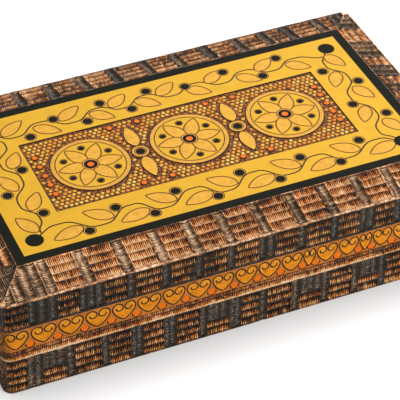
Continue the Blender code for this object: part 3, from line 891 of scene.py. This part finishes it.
def border(art):
    art.shape(rectangle(PANEL_HALF_LENGTH - BORDER_WIDTH, PANEL_HALF_DEPTH - BORDER_WIDTH), "yellow")
    for path in (wave(FRONT_VINE), wave(BACK_VINE), wave(LEFT_VINE)[:, ::-1], wave(RIGHT_VINE)[:, ::-1]):
        art.line(path, VINE_WIDTH, "vine", VINE_BEAD)
    for spot in OUTER_LEAVES:
        drawn_leaf(art, *spot, *OUTER_LEAF)
    for spot in INNER_LEAVES:
        drawn_leaf(art, *spot, *INNER_LEAF)
    for x, y, length, angle in OTHER_LEAVES:
        drawn_leaf(art, x, y, length, OTHER_LEAF_WIDTH, angle)
    for spot in DISC_SPOTS:
        art.shape(circle(spot, DISC_RADIUS, 36), "black")
    for spot in BERRIES:
        berry(art, spot)


def raised(art, outline, look, rim=FIGURE_RIM):
    """A figure that stands up from the punched ground inside a burnt rim."""
    art.shape(outline + outward(outline) * rim, "burnt", -FIELD_SINK)
    art.shape(outline, look)


# The middle field: three rosettes, a lozenge of leaves on each side of the middle one, and small dots.
ROSETTES = ((-52, 0), (0, 0), (52, 0))
ROSETTE_RADIUS = 19.5
ROSETTE_BAND = 2.2
ROSETTE_LINE = 0.5
ROSETTE_EYE = 1.7
PETAL_PLACE = 9.2
PETAL = (14.4, 7.6)
PETAL_BERRY_PLACE = 13.4
PETAL_BERRY_RADIUS = 1.5
EYE_BERRY_RADIUS = 3.4
LOZENGES = (-26, 26)
LOZENGE_LEAF = (15.5, 6.6)
LOZENGE_LEAF_PLACE = 12.5
LOZENGE_EYE = 4.2
LOZENGE_BERRY_RADIUS = 2.4
SPOT_RADIUS = 1.35
SPOT_RIM = 0.4
SPOT_STEP = 7.4
SPOT_ROW = 24.2
SPOT_DIP = 1.2
END_SPOT_COLUMN = 75.4
PIP_PITCH = 2.6
PIP_ROW_SHARE = 0.866
PIP_SLIP = 0.12
PIP_RADIUS = 0.95
PIP_HEIGHT = 0.3
PIP_EDGE_ROOM = 1.6
# The dark disc under each pip, shifted to one side: painted shadow.
CRESCENT_RADIUS = 1.14
CRESCENT_SHIFT = 0.14
CRESCENT_SINK = 0.04


def about(x, y, reach, angles):
    """The places at a distance from x, y in the directions given in degrees."""
    turns = [math.radians(angle) for angle in angles]
    return [(x + reach * math.cos(turn), y + reach * math.sin(turn)) for turn in turns]


def rosette(art, x, y):
    raised(art, circle((x, y), ROSETTE_RADIUS, 90), "motif")
    band = circle((x, y), ROSETTE_RADIUS - ROSETTE_BAND, 80)
    art.shape(art.ring(band, ROSETTE_LINE, "burnt", LINE_SINK), "yellow")
    petals = range(0, 360, 60)
    for spot, angle in zip(about(x, y, PETAL_PLACE, petals), petals):
        drawn_leaf(art, *spot, *PETAL, angle)
    for spot in about(x, y, PETAL_BERRY_PLACE, range(30, 390, 60)):
        berry(art, spot, PETAL_BERRY_RADIUS)
    berry(art, (x, y), EYE_BERRY_RADIUS)
    art.shape(circle((x, y), ROSETTE_EYE), "orange")


def lozenge(art, x):
    for turn in (1, -1):
        raised(art, leaf((x, turn * LOZENGE_LEAF_PLACE), *LOZENGE_LEAF, turn * 90), "leaf")
    raised(art, circle((x, 0), LOZENGE_EYE, 36), "motif")
    berry(art, (x, 0), LOZENGE_BERRY_RADIUS)


def spot_places():
    signs = (-1, 1)
    places = [
        (sx * (LOZENGES[1] + k * SPOT_STEP), sy * (SPOT_ROW - abs(k) * SPOT_DIP))
        for sx in signs for sy in signs for k in signs
    ]
    return places + [(sx * END_SPOT_COLUMN, sy * SPOT_STEP) for sx in signs for sy in range(-2, 3)]


def taken_places():
    """Centre and radius of each round that the figures keep free of punched dots."""
    taken = [(x, y, ROSETTE_RADIUS + 1.7) for x, y in ROSETTES]
    for x in LOZENGES:
        taken += [(x, y, 4.4) for y in (-16.5, -12.5, -8.5, 8.5, 12.5, 16.5)] + [(x, 0, 6.2)]
    return taken + [(x, y, 2.7) for x, y in spot_places()]


def punch(art, taken):
    rise = PIP_PITCH * PIP_ROW_SHARE
    rows = int((FIELD_HALF_DEPTH - PIP_EDGE_ROOM) / rise)
    for row in range(-rows, rows + 1):
        start = -FIELD_HALF_LENGTH + 1.7 + PIP_PITCH / 2 * (row % 2)
        for place in np.arange(start, FIELD_HALF_LENGTH - 1.5, PIP_PITCH):
            x = place + rng.normal(0, PIP_SLIP)
            y = row * rise + rng.normal(0, PIP_SLIP)
            if all(math.hypot(x - a, y - b) > r for a, b, r in taken):
                # A dark disc shifted to one side of the pip: its painted shadow.
                shade = circle((x - CRESCENT_SHIFT, y - CRESCENT_SHIFT), CRESCENT_RADIUS, 9)
                art.shape(shade, "crescent", -FIELD_SINK - CRESCENT_SINK)
                art.dome((x, y), PIP_RADIUS, PIP_HEIGHT, "pip", -FIELD_SINK)


def centre_field(art):
    art.shape(rectangle(FIELD_HALF_LENGTH, FIELD_HALF_DEPTH), "burnt")
    ground = rectangle(FIELD_HALF_LENGTH - FIELD_LINE, FIELD_HALF_DEPTH - FIELD_LINE)
    art.shape(ground, "punched", -FIELD_SINK)
    punch(art, taken_places())
    for x in LOZENGES:
        lozenge(art, x)
    for x, y in ROSETTES:
        rosette(art, x, y)
    for spot in spot_places():
        raised(art, circle(spot, SPOT_RADIUS, 18), "orange", SPOT_RIM)


def panel_patches():
    art = Inlay()
    corners = rectangle(PANEL_HALF_LENGTH, PANEL_HALF_DEPTH)
    edges = zip(corners, np.roll(corners, -1, axis=0), (FRONT.core_steps, RIGHT.core_steps) * 2)
    rim = np.concatenate([np.linspace(a, b, steps, endpoint=False) for a, b, steps in edges])
    art.shape(rim, "black")
    border(art)
    centre_field(art)
    face = art.cut(
        lambda a, b, lift: together(a, b, TOP + lift),
        lambda a, b: together(a, b),
    )
    loop = np.concatenate((rim, rim[:1]))
    top = np.concatenate((loop, np.full((len(loop), 1), TOP)), axis=1)
    wall = np.stack((top, top - (0, 0, PANEL_THICKNESS)), axis=1)
    along = np.linspace(-PANEL_HALF_LENGTH, PANEL_HALF_LENGTH, len(loop))
    wall_v = PANEL_HALF_DEPTH + 1.6 + np.array((0.0, PANEL_THICKNESS))
    return [face, grid_patch(wall, along, wall_v, "plain")]


# Materials.
def blank(name):
    """A new material, its empty node tree and the object's own coordinates in it."""
    material = bpy.data.materials.new(name)
    material.use_nodes = True
    tree = material.node_tree
    tree.nodes.clear()
    return material, tree, node(tree, "TexCoord").outputs["Object"]


def node(tree, kind, settings=None, **inputs):
    """A shader node with its settings and inputs; an input i0, i1 or i2 goes by its number."""
    made = tree.nodes.new("ShaderNode" + kind)
    for key, value in (settings or {}).items():
        setattr(made, key, value)
    for key, value in inputs.items():
        plug(tree, made.inputs[int(key[1:]) if key[1:].isdigit() else key], value)
    return made


def plug(tree, socket, value):
    if isinstance(value, bpy.types.NodeSocket):
        tree.links.new(value, socket)
    elif isinstance(value, tuple) and len(value) == 3 and socket.type == "RGBA":
        socket.default_value = (*value, 1.0)
    else:
        socket.default_value = value


def maths(tree, operation, a, b=0.0, clamp=False):
    return node(tree, "Math", {"operation": operation, "use_clamp": clamp}, i0=a, i1=b).outputs[0]


def weighted(tree, a, weight_a, b, weight_b):
    return maths(tree, "ADD", maths(tree, "MULTIPLY", a, weight_a), maths(tree, "MULTIPLY", b, weight_b))


def swing(tree, layer, amount):
    """A noise layer as a value that swings about zero."""
    return maths(tree, "MULTIPLY", maths(tree, "SUBTRACT", layer, 0.5), amount)


def scaled(tree, value, slope, start, clamp=False):
    settings = {"operation": "MULTIPLY_ADD", "use_clamp": clamp}
    return node(tree, "Math", settings, i0=value, i1=slope, i2=start).outputs[0]


def ramp(tree, factor, stops):
    made = node(tree, "ValToRGB", None, i0=factor)
    elements = made.color_ramp.elements
    while len(elements) < len(stops):
        elements.new(0.5)
    for element, (place, colour) in zip(elements, stops):
        element.position = place
        element.color = (*colour, 1.0)
    return made.outputs[0]


def tones(tree, factor, stops):
    return ramp(tree, factor, [(place, srgb(*colour)) for place, *colour in stops])


def blend(tree, factor, a, b):
    made = node(tree, "Mix", {"data_type": "RGBA", "blend_type": "MIX"}, i0=factor, i6=a, i7=b)
    return made.outputs[2]


def noise(tree, where, scale, detail=3.0, stretch=(1, 1, 1)):
    spot = node(tree, "Mapping", None, Vector=where, Scale=Vector(stretch)).outputs[0]
    return node(tree, "TexNoise", None, Vector=spot, Scale=scale, Detail=detail).outputs["Fac"]


def surface(tree, colour, roughness, height, strength, coat=0.0, metallic=0.0, specular=0.5):
    bump = node(tree, "Bump", None, Height=height, Strength=strength, Distance=BUMP_HEIGHT).outputs[0]
    shader = node(tree, "BsdfPrincipled", None, Roughness=roughness, Metallic=metallic, Normal=bump)
    plug(tree, shader.inputs["Base Color"], colour)
    shader.inputs["Specular IOR Level"].default_value = specular
    shader.inputs["Coat Weight"].default_value = coat
    shader.inputs["Coat Roughness"].default_value = COAT_ROUGHNESS
    node(tree, "OutputMaterial", None, Surface=shader.outputs[0])


def srgb(r, g, b):
    """The linear colour of red, green and blue from 0 to 255."""
    return tuple(((c / 255 + 0.055) / 1.055) ** 2.4 if c > 10 else c / 255 / 12.92 for c in (r, g, b))


BUMP_HEIGHT = 0.0002
COAT_ROUGHNESS = 0.12
# Tones of pressed wood from pale to burnt: the place on that scale, then red, green and blue. The whitish
# palest stops are the colour of the painted highlights.
WARM = ((0.0, 255, 228, 184), (0.13, 254, 182, 92), (0.34, 226, 118, 34), (0.6, 106, 50, 20),
        (0.82, 30, 14, 5), (1.0, 8, 5, 2))
OLIVE = ((0.0, 255, 230, 186), (0.14, 242, 184, 104), (0.34, 174, 116, 38), (0.6, 68, 46, 12),
         (0.82, 20, 14, 5), (1.0, 6, 5, 2))
COOL = ((0.0, 255, 222, 180), (0.22, 210, 158, 112), (0.45, 134, 96, 66), (0.72, 78, 54, 20),
        (1.0, 30, 20, 6))
BRASS = ((0.3, 196, 150, 72), (0.7, 226, 184, 104))
# Stains: name, colour, how far it varies, scale of the grain, colour of the specks, roughness, gloss.
STAINS = {
    "frieze": ("frieze_ground", (198, 118, 44), 0.25, 300.0, (240, 172, 84)),
    "heart": ("heart_gold", (236, 140, 20), 0.22, 420.0, (255, 196, 60)),
    "curl": ("curl_gold", (236, 150, 36), 0.2, 420.0, (255, 206, 80)),
    "burnt": ("burnt_line", (20, 12, 8), 0.2, 900.0),
    "dotted": ("dotted_line", (120, 68, 22), 0.25, 1100.0),
    "vine": ("vine_line", (48, 30, 8), 0.25, 900.0),
    "orange": ("orange_stain", (255, 116, 4), 0.1, 500.0, (255, 164, 60)),
    "yellow": ("yellow_stain", (240, 183, 42), 0.05, 120.0),
    "black": ("black_stain", (17, 17, 8), 0.25, 240.0, (38, 38, 30), 0.7, 0.06),
    "leaf": ("leaf_stain", (246, 182, 62), 0.12, 300.0, (212, 142, 40)),
    "motif": ("motif_stain", (238, 174, 66), 0.12, 300.0, (206, 138, 44)),
    "pale": ("pale_ring", (226, 158, 66), 0.15, 500.0),
}
# Punched ground: name, colours from dark to pale, scale of the facets.
PUNCHED = {
    "punched": ("punched_ground", ((40, 18, 6), (96, 48, 12), (186, 112, 34)), 900),
    # Each pip's dark disc, shifted to one side of it, is painted shadow.
    "crescent": ("punched_crescent", ((34, 16, 8), (66, 32, 12)), 500),
    "pip": ("punched_pip", ((226, 132, 34), (244, 168, 46), (255, 210, 92)), 260),
}
# Plain woods: name, pale, middle and dark tone, roughness, coat.
WOODS = {
    "plain": ("lacquered_wood", (226, 178, 116), (204, 150, 90), (172, 116, 62), 0.42, 0.25),
    "bottom": ("bottom_board", (214, 172, 118), (192, 146, 92), (160, 112, 64), 0.5, 0.1),
}


def carved_material():
    """Burnt wood: the marks' own data, painted highlights and shade among it, sets how dark a spot is, and
    noise breaks it up.
    """
    material, tree, where = blank("carved_wood")
    facts = node(tree, "Attribute", {"attribute_name": PRESS_NAME})
    burn_and_painted_light, rib, upright = node(tree, "SeparateColor", None, Color=facts.outputs["Color"]).outputs
    scorch = facts.outputs["Alpha"]
    blotch = noise(tree, where, 520.0, 4.0)
    fine = noise(tree, where, 2000.0, 3.0)
    patch = noise(tree, where, 60.0, 2.0)
    hue = noise(tree, where, 560.0, 2.0)
    # Rib crests are painted lighter and rib grooves darker: painted highlight and shade over the ribs' real
    # relief.
    dark = maths(tree, "ADD", weighted(tree, burn_and_painted_light, 0.71, scorch, 0.5), swing(tree, rib, -0.95))
    for layer, amount in ((blotch, 1.3), (fine, 0.8), (patch, 0.9)):
        dark = maths(tree, "ADD", dark, swing(tree, layer, amount))
    dark = maths(tree, "ADD", dark, 0.13, True)
    warm, olive, cool = (tones(tree, dark, stops) for stops in (WARM, OLIVE, COOL))
    shade = maths(tree, "SUBTRACT", weighted(tree, hue, 5.0, scorch, 0.7), 2.7, True)
    colour = blend(tree, upright, blend(tree, shade, warm, olive), cool)
    rough = scaled(tree, noise(tree, where, 1100.0, 1.0), 2.2, -0.7, True)
    surface(tree, colour, rough, fine, 1.0, specular=0.27)
    return material


def wood_material(name, pale, mid, dark, roughness, coat):
    material, tree, where = blank(name)
    bend = noise(tree, where, 14.0, 2.0)
    grain = noise(tree, where, 90.0, 5.0, (0.12, 1.0, 1.0))
    fibre = noise(tree, where, 900.0, 3.0, (0.06, 1.0, 1.0))
    mix = maths(tree, "ADD", weighted(tree, grain, 0.7, fibre, 0.3), swing(tree, bend, 0.35), True)
    colour = tones(tree, mix, ((0.25, *dark), (0.5, *mid), (0.75, *pale)))
    surface(tree, colour, roughness, fibre, 0.25, coat=coat)
    return material


def stain_material(name, colour, vary, scale, speck=None, roughness=0.6, specular=0.15):
    """Stain over wood: near tones of one colour, fine grain and, if given, specks of another colour."""
    material, tree, where = blank(name)
    colour = srgb(*colour)
    cloud = noise(tree, where, scale, 4.0)
    grain = noise(tree, where, 700.0, 3.0, (0.1, 1.0, 1.0))
    low = tuple(c * (1 - vary * 1.6) for c in colour)
    high = tuple(min(1.0, c * (1 + vary)) for c in colour)
    shade = weighted(tree, cloud, 0.65, grain, 0.35)
    tint = ramp(tree, shade, ((0.32, low), (0.5, colour), (0.68, high)))
    if speck:
        spots = maths(tree, "GREATER_THAN", noise(tree, where, 1700.0, 2.0), 0.6)
        tint = blend(tree, maths(tree, "MULTIPLY", spots, 0.55), tint, srgb(*speck))
    surface(tree, tint, roughness, grain, 0.2, specular=specular)
    return material


def punched_material(name, colours, scale):
    """Small facets in several tones, one to each punched spot."""
    material, tree, where = blank(name)
    cells = noise(tree, where, scale, 1.0)
    fine = noise(tree, where, 1500.0, 3.0)
    places = np.linspace(0.36, 0.64, len(colours))
    stops = [(place, *colour) for place, colour in zip(places, colours)]
    tint = tones(tree, weighted(tree, cells, 0.85, fine, 0.15), stops)
    surface(tree, tint, 0.6, fine, 0.3, specular=0.15)
    return material


def brass_material():
    material, tree, where = blank("brass")
    brushed = noise(tree, where, 2600.0, 3.0, (0.1, 1.0, 1.0))
    cloud = noise(tree, where, 130.0, 3.0)
    rough = scaled(tree, cloud, 0.22, 0.2)
    surface(tree, tones(tree, cloud, BRASS), rough, brushed, 0.15, metallic=1.0)
    return material


def build_materials():
    made = {"carved": carved_material(), "brass": brass_material()}
    for table, make in ((STAINS, stain_material), (PUNCHED, punched_material), (WOODS, wood_material)):
        made.update({look: make(*facts) for look, facts in table.items()})
    return made


# The groove that the chamfered back edges form, and the rooms of the two hinges.
HINGE_AXIS_Y = 74.2
SEAM = 38.5
GROOVE_APEX = 0.196
GROOVE_REACH = 5.8
GROOVE_SPREAD = 7.146
HINGE_SPOTS = (-75.0, 75.0)
ROOM_HALF_LENGTH = 9.8
LEAF_ROOM = (67.1, 1.45)
BARREL_ROOM = (72.5, 1.7)
BACK_OVERRUN = 80.0
END_OVERRUN = 5
CAP_CHART_GAP = 10
ROOM_CHART_GAP = 30
ROOM_CHART_PITCH = 45


def bar(section, low, high, edge, shift, material):
    """A cutter along X. Its chart starts at the height edge and is shifted back by shift."""
    count = len(section)
    points = [(x * MM, y * MM, z * MM) for x in (low, high) for y, z in section]
    faces = [tuple(range(count))[::-1], tuple(range(count, 2 * count))]
    foot = edge - section[0][1] + CAP_CHART_GAP
    start, stop = low - shift, high - shift
    spots = [(start + y - BACK_OVERRUN, foot + z) for y, z in section[::-1]]
    spots += [(stop + y - BACK_OVERRUN, foot + z) for y, z in section]
    run = edge
    for i in range(count):
        j = (i + 1) % count
        wide = math.dist(section[i], section[j])
        faces.append((i, j, j + count, i + count))
        spots += [(start, run), (start, run + wide), (stop, run + wide), (stop, run)]
        run += wide + 1
    mesh = bpy.data.meshes.new("cutter")
    mesh.from_pydata(points, [], faces)
    mesh.materials.append(material)
    layer = mesh.uv_layers.new(name=UV_NAME)
    layer.data.foreach_set("uv", np.array(spots).ravel())
    cutter = bpy.data.objects.new("cutter", mesh)
    bpy.context.scene.collection.objects.link(cutter)
    return cutter


def carve(piece, cutters):
    for cutter in cutters:
        step = piece.modifiers.new("cut", "BOOLEAN")
        step.operation = "DIFFERENCE"
        step.solver = "MANIFOLD"
        step.material_mode = "TRANSFER"
        step.object = cutter
    graph = bpy.context.evaluated_depsgraph_get()
    whole = piece.data
    made = piece.evaluated_get(graph)
    cut = bpy.data.meshes.new_from_object(made, preserve_all_data_layers=True, depsgraph=graph)
    piece.modifiers.clear()
    piece.data = cut
    bpy.data.meshes.remove(whole)
    for cutter in cutters:
        bpy.data.objects.remove(cutter, do_unlink=True)


def chart_top(piece):
    return max(spot.uv.y for spot in piece.data.uv_layers[UV_NAME].data)


def groove_cutter(piece, side, material):
    section = (
        (HINGE_AXIS_Y - GROOVE_APEX, SEAM),
        (HINGE_AXIS_Y + GROOVE_REACH, SEAM - GROOVE_SPREAD),
        (HINGE_AXIS_Y + GROOVE_REACH, SEAM + GROOVE_SPREAD),
    )
    across = HALF_LENGTH - WALL_THICKNESS
    shift = {"right": across, "left": -across}.get(side.name, 0.0)
    end = HALF_LENGTH + END_OVERRUN
    return bar(section, -end, end, chart_top(piece) + CHART_GAP, shift, material)


def room_cutters(piece, material):
    made = []
    edge = chart_top(piece) + ROOM_CHART_GAP
    for centre in HINGE_SPOTS:
        for front, half in (LEAF_ROOM, BARREL_ROOM):
            foot, top = SEAM - half, SEAM + half
            section = ((front, foot), (BACK_OVERRUN, foot), (BACK_OVERRUN, top), (front, top))
            low, high = centre - ROOM_HALF_LENGTH, centre + ROOM_HALF_LENGTH
            made.append(bar(section, low, high, edge, 0.0, material))
            edge += ROOM_CHART_PITCH
    return made


def cut_back(piece, side, materials):
    """Cuts what the back of the box opens into; the front has nothing to cut."""
    if side is FRONT:
        return
    cutters = [groove_cutter(piece, side, materials["plain"])]
    if side is BACK:
        cutters += room_cutters(piece, materials["plain"])
    carve(piece, cutters)


# Putting the pieces together.
def finish_piece(piece, body, node_name):
    chart(piece)
    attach(piece, body)
    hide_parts(node_name)


def make_pieces(materials):
    board = []
    for side in SIDES:
        wall = weld(f"carved_{side.name}_wall", wall_patches(side), materials)
        cut_back(wall, side, materials)
        finish_piece(wall, "base", f"{side.name}_wall")
        band = upper_band(side)
        rail = weld(f"carved_{side.name}_rail", rail_patches(side, band), materials)
        cut_back(rail, side, materials)
        finish_piece(rail, "lid", f"lid_{side.name}_rail")
        board += slope_patches(side, band)
    margins = weld("carved_margins", board, materials)
    finish_piece(margins, "lid", "lid_top_board")
    panel = weld("painted_panel", panel_patches(), materials)
    finish_piece(panel, "lid", "lid_top_board")


def dress_frame(materials):
    for name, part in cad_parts.items():
        if "hinge" in name or name == "bottom_board":
            part.data.materials.clear()
            part.data.materials.append(materials["bottom" if name == "bottom_board" else "brass"])


# Camera, light and floor, in metres.
CAMERA_PLACE = (-0.301156, -0.690873, 0.646538)
CAMERA_RIGHT = (0.91691033, -0.39897583, 0.00968223)
CAMERA_UP = (0.24821293, 0.58909487, 0.76899777)
CAMERA_BACK = (-0.31251527, -0.70269874, 0.63917813)
CAMERA_LENS = 174.53
SENSOR_WIDTH = 36.0
# Lamps: name, place, what it faces, width, height, watts.
LAMPS = (
    ("key", (0.7, 0.45, 1.05), (0, 0, 0.03), 0.6, 0.6, 11.0),
    ("back_panel", (0.5, 1.3, 0.42), (0, 0, 0.05), 1.8, 0.6, 8.0),
    ("front_fill", (0.6, -1.2, 0.8), (0, 0, 0.03), 0.4, 0.4, 16.0),
)
SKY_LIGHT = 0.12
SKY_SEEN = 0.88
FLOOR_HALF = 4.0
FLOOR_GREY = 0.5
FLOOR_GLOW = 0.78
CONTACT_REACH = 0.03
WHITE = (1.0, 1.0, 1.0)


def add_camera():
    data = bpy.data.cameras.new("camera")
    data.lens = CAMERA_LENS
    data.sensor_width = SENSOR_WIDTH
    data.clip_start = 0.05
    camera = placed("camera", data)
    axes = Matrix((CAMERA_RIGHT, CAMERA_UP, CAMERA_BACK)).transposed()
    camera.matrix_world = Matrix.Translation(CAMERA_PLACE) @ axes.to_4x4()
    bpy.context.scene.camera = camera


def add_light(name, place, target, width, height, power):
    data = bpy.data.lights.new(name, "AREA")
    data.shape = "RECTANGLE"
    data.size = width
    data.size_y = height
    data.energy = power
    light = placed(name, data)
    aim = Vector(target) - Vector(place)
    light.matrix_world = Matrix.Translation(place) @ aim.to_track_quat("-Z", "Y").to_matrix().to_4x4()


def seen_directly(tree):
    """1 for the rays that show the background: camera, glossy and transmission rays."""
    path = node(tree, "LightPath").outputs
    rays = maths(tree, "ADD", path["Is Camera Ray"], path["Is Glossy Ray"])
    return maths(tree, "ADD", rays, path["Is Transmission Ray"], True)


def floor_material():
    """A grey floor that takes the shadow, lifted to white where it is seen, less so near the box: that fade
    is a painted contact shadow.
    """
    material, tree, _ = blank("floor")
    grey = node(tree, "BsdfDiffuse", None, Color=(FLOOR_GREY, FLOOR_GREY, FLOOR_GREY)).outputs[0]
    # Ambient occlusion dims the glow near the box: a painted contact shadow.
    near = node(tree, "AmbientOcclusion", {"samples": 8}, Distance=CONTACT_REACH).outputs["AO"]
    glow = node(tree, "Emission", None, Color=WHITE, Strength=maths(tree, "MULTIPLY", near, FLOOR_GLOW))
    both = node(tree, "AddShader", None, i0=grey, i1=glow.outputs[0])
    seen = node(tree, "MixShader", None, i0=seen_directly(tree), i1=grey, i2=both.outputs[0])
    node(tree, "OutputMaterial", None, Surface=seen.outputs[0])
    return material


def add_floor():
    mesh = bpy.data.meshes.new("floor")
    mesh.from_pydata([(x, y, 0) for x, y in rectangle(FLOOR_HALF, FLOOR_HALF)], [], [(0, 1, 2, 3)])
    mesh.materials.append(floor_material())
    floor = placed("floor", mesh)


def add_world():
    world = bpy.data.worlds.new("studio")
    world.use_nodes = True
    tree = world.node_tree
    tree.nodes.clear()
    strength = scaled(tree, seen_directly(tree), SKY_SEEN, SKY_LIGHT)
    sky = node(tree, "Background", None, Color=WHITE, Strength=strength)
    node(tree, "OutputWorld", None, Surface=sky.outputs[0])
    bpy.context.scene.world = world


materials = build_materials()
make_pieces(materials)
dress_frame(materials)
add_camera()
add_world()
add_floor()
for lamp in LAMPS:
    add_light(*lamp)
bpy.context.scene.view_settings.view_transform = "Standard"
